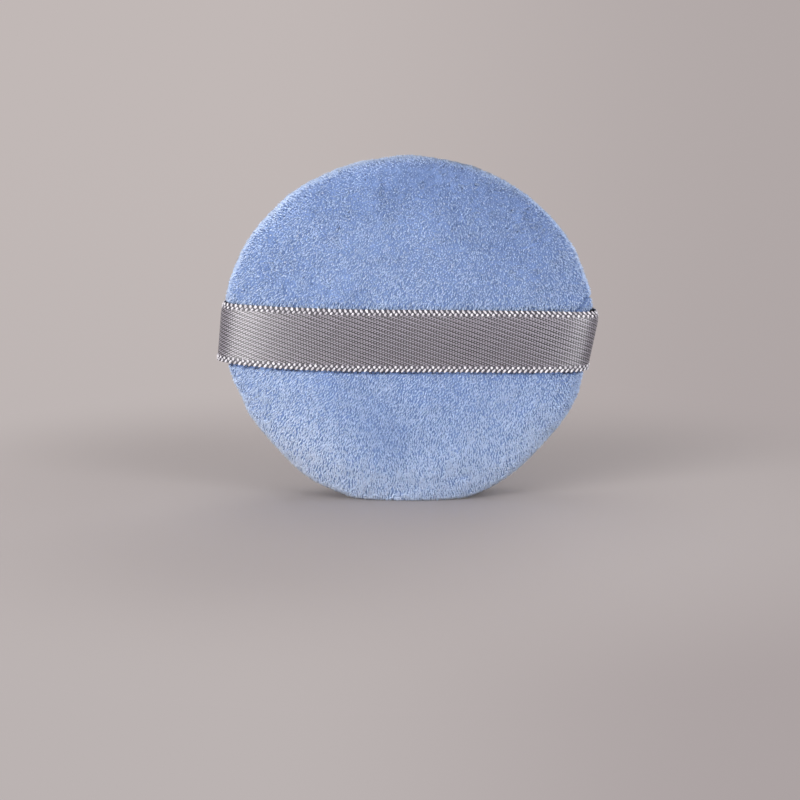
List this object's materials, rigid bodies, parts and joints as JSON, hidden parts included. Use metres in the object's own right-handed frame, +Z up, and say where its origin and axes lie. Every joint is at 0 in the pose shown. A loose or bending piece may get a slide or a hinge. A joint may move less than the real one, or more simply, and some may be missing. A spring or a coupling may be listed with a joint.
{
  "type": "powder puff",
  "caption": "Round padded velour powder puff with rolled edges, a rim seam and a satin finger ribbon across one side, standing on its rim.",
  "frame": {"origin": "on the surface that the puff stands on, under the middle of its box", "axes": "+Z up, X along the ribbon, -Y out of the ribbon side, +Y out of the powder side"},
  "size_m": [0.0819, 0.0222, 0.0738],
  "materials": {
    "velour": "short cut pile, soft and matt, light blue",
    "ribbon_satin": "woven satin ribbon, grey, with picot-like woven edges",
    "foam": "open-cell soft foam, cream",
    "wadding": "white fibre wadding",
    "seam_thread": "polyester sewing thread, light blue",
    "tack_thread": "polyester sewing thread, pale grey"
  },
  "bodies": {
    "root": {"ribbon_side_cover": "velour", "powder_side_cover": "velour", "foam_core": "foam", "ribbon_side_wadding": "wadding", "powder_side_wadding": "wadding", "finger_ribbon": "ribbon_satin", "needle_thread": "seam_thread", "bobbin_thread": "seam_thread", "closing_stitch": "seam_thread", "ribbon_tack_left": "tack_thread", "ribbon_tack_right": "tack_thread"}
  },
  "joints": []
}
